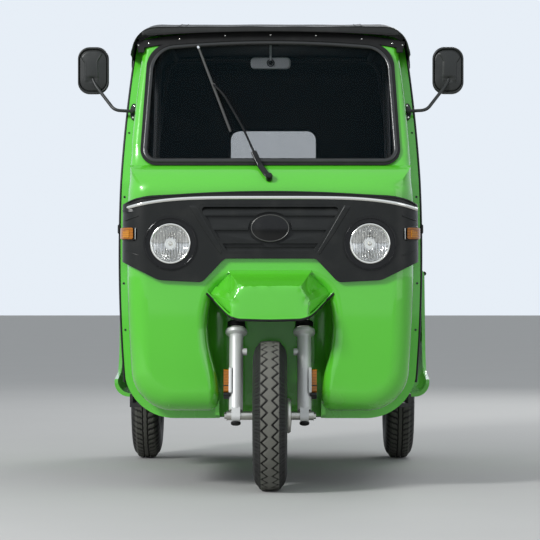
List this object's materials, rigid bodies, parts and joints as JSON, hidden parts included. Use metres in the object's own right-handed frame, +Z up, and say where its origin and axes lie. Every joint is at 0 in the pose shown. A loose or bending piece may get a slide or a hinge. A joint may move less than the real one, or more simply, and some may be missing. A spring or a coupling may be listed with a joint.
{
  "type": "auto rickshaw",
  "caption": "Three-wheeled auto rickshaw with a pressed cowl, raked windscreen, handlebar steering, open doorways, soft canopy and a rear engine under a hinged lid",
  "frame": {"origin": "on the ground under the middle of the overall length and width", "axes": "+Z up, the front faces -Y, +X is on the right of someone who faces the front"},
  "size_m": [1.469, 2.71, 1.786],
  "materials": {
    "body_paint": "bright green gloss paint",
    "frame_paint": "black semi-gloss paint",
    "wheel_paint": "black paint",
    "fork_silver": "silver painted alloy",
    "engine_metal": "grey casting",
    "black_plastic": "satin black moulding",
    "amber_plastic": "amber lens",
    "red_plastic": "red lens",
    "lamp_chrome": "bright plated",
    "clear_glass": "clear",
    "clear_sheet": "clear flexible sheet",
    "mirror_glass": "silvered",
    "black_rubber": "black rubber",
    "tyre_rubber": "tyre rubber",
    "seat_vinyl": "black grained vinyl",
    "canopy_fabric": "black coated canvas"
  },
  "bodies": {
    "body": {"front_cowl": "body_paint", "wheel_arch": "body_paint", "fork_cowl": "body_paint", "rear_body": "body_paint", "rear_side_panels": "body_paint", "grille_band": "black_plastic", "grille_insert": "black_plastic", "mirrors": "black_plastic", "interior_mirror": "black_plastic", "dashboard": "black_plastic", "wiper": "black_plastic", "headlamp_housings": "lamp_chrome", "headlamp_lenses": "clear_glass", "indicator_lamps": "amber_plastic", "tail_lamps": "red_plastic", "windscreen_glass": "clear_glass", "rear_window": "clear_sheet", "mirror_glasses": "mirror_glass", "windscreen_gasket": "black_rubber", "visor_strip": "black_rubber", "chassis_frame": "frame_paint", "floor_pan": "frame_paint", "rear_bumper": "frame_paint", "roof_frame": "frame_paint", "trailing_arms": "frame_paint", "half_shafts": "frame_paint", "shock_absorbers": "frame_paint", "exhaust": "frame_paint", "seat_bases": "body_paint", "driver_seat_pads": "seat_vinyl", "passenger_seat_pads": "seat_vinyl", "canopy": "canopy_fabric", "engine_block": "engine_metal"},
    "steering": {"steering_stem": "frame_paint", "fork_legs": "fork_silver", "fork_collars": "black_rubber", "fork_reflectors": "amber_plastic", "front_axle": "fork_silver", "handlebar": "frame_paint", "handlebar_grips": "black_rubber"},
    "front_wheel": {"front_tyre": "tyre_rubber", "front_rim": "wheel_paint"},
    "rear_wheel_left": {"rear_tyre_left": "tyre_rubber", "rear_rim_left": "wheel_paint"},
    "rear_wheel_right": {"rear_tyre_right": "tyre_rubber", "rear_rim_right": "wheel_paint"},
    "lid": {"engine_lid": "body_paint"}
  },
  "joints": [
    {"name": "steering_turn", "type": "hinge", "parent": "body", "child": "steering", "pos_m": [0, -1.04041, 0.26332], "axis": [0, 0.342, 0.9397], "range_deg": [-40, 40]},
    {"name": "front_wheel_spin", "type": "hinge", "parent": "steering", "child": "front_wheel", "pos_m": [0, -1.078, 0.277], "axis": [1, 0, 0], "continuous": true},
    {"name": "rear_wheel_left_spin", "type": "hinge", "parent": "body", "child": "rear_wheel_left", "pos_m": [-0.553, 0.922, 0.277], "axis": [1, 0, 0], "continuous": true},
    {"name": "rear_wheel_right_spin", "type": "hinge", "parent": "body", "child": "rear_wheel_right", "pos_m": [0.553, 0.922, 0.277], "axis": [1, 0, 0], "continuous": true},
    {"name": "engine_lid_hinge", "type": "hinge", "parent": "body", "child": "lid", "pos_m": [0, 1.331, 0.745], "axis": [1, 0, 0], "range_deg": [0, 75]}
  ]
}
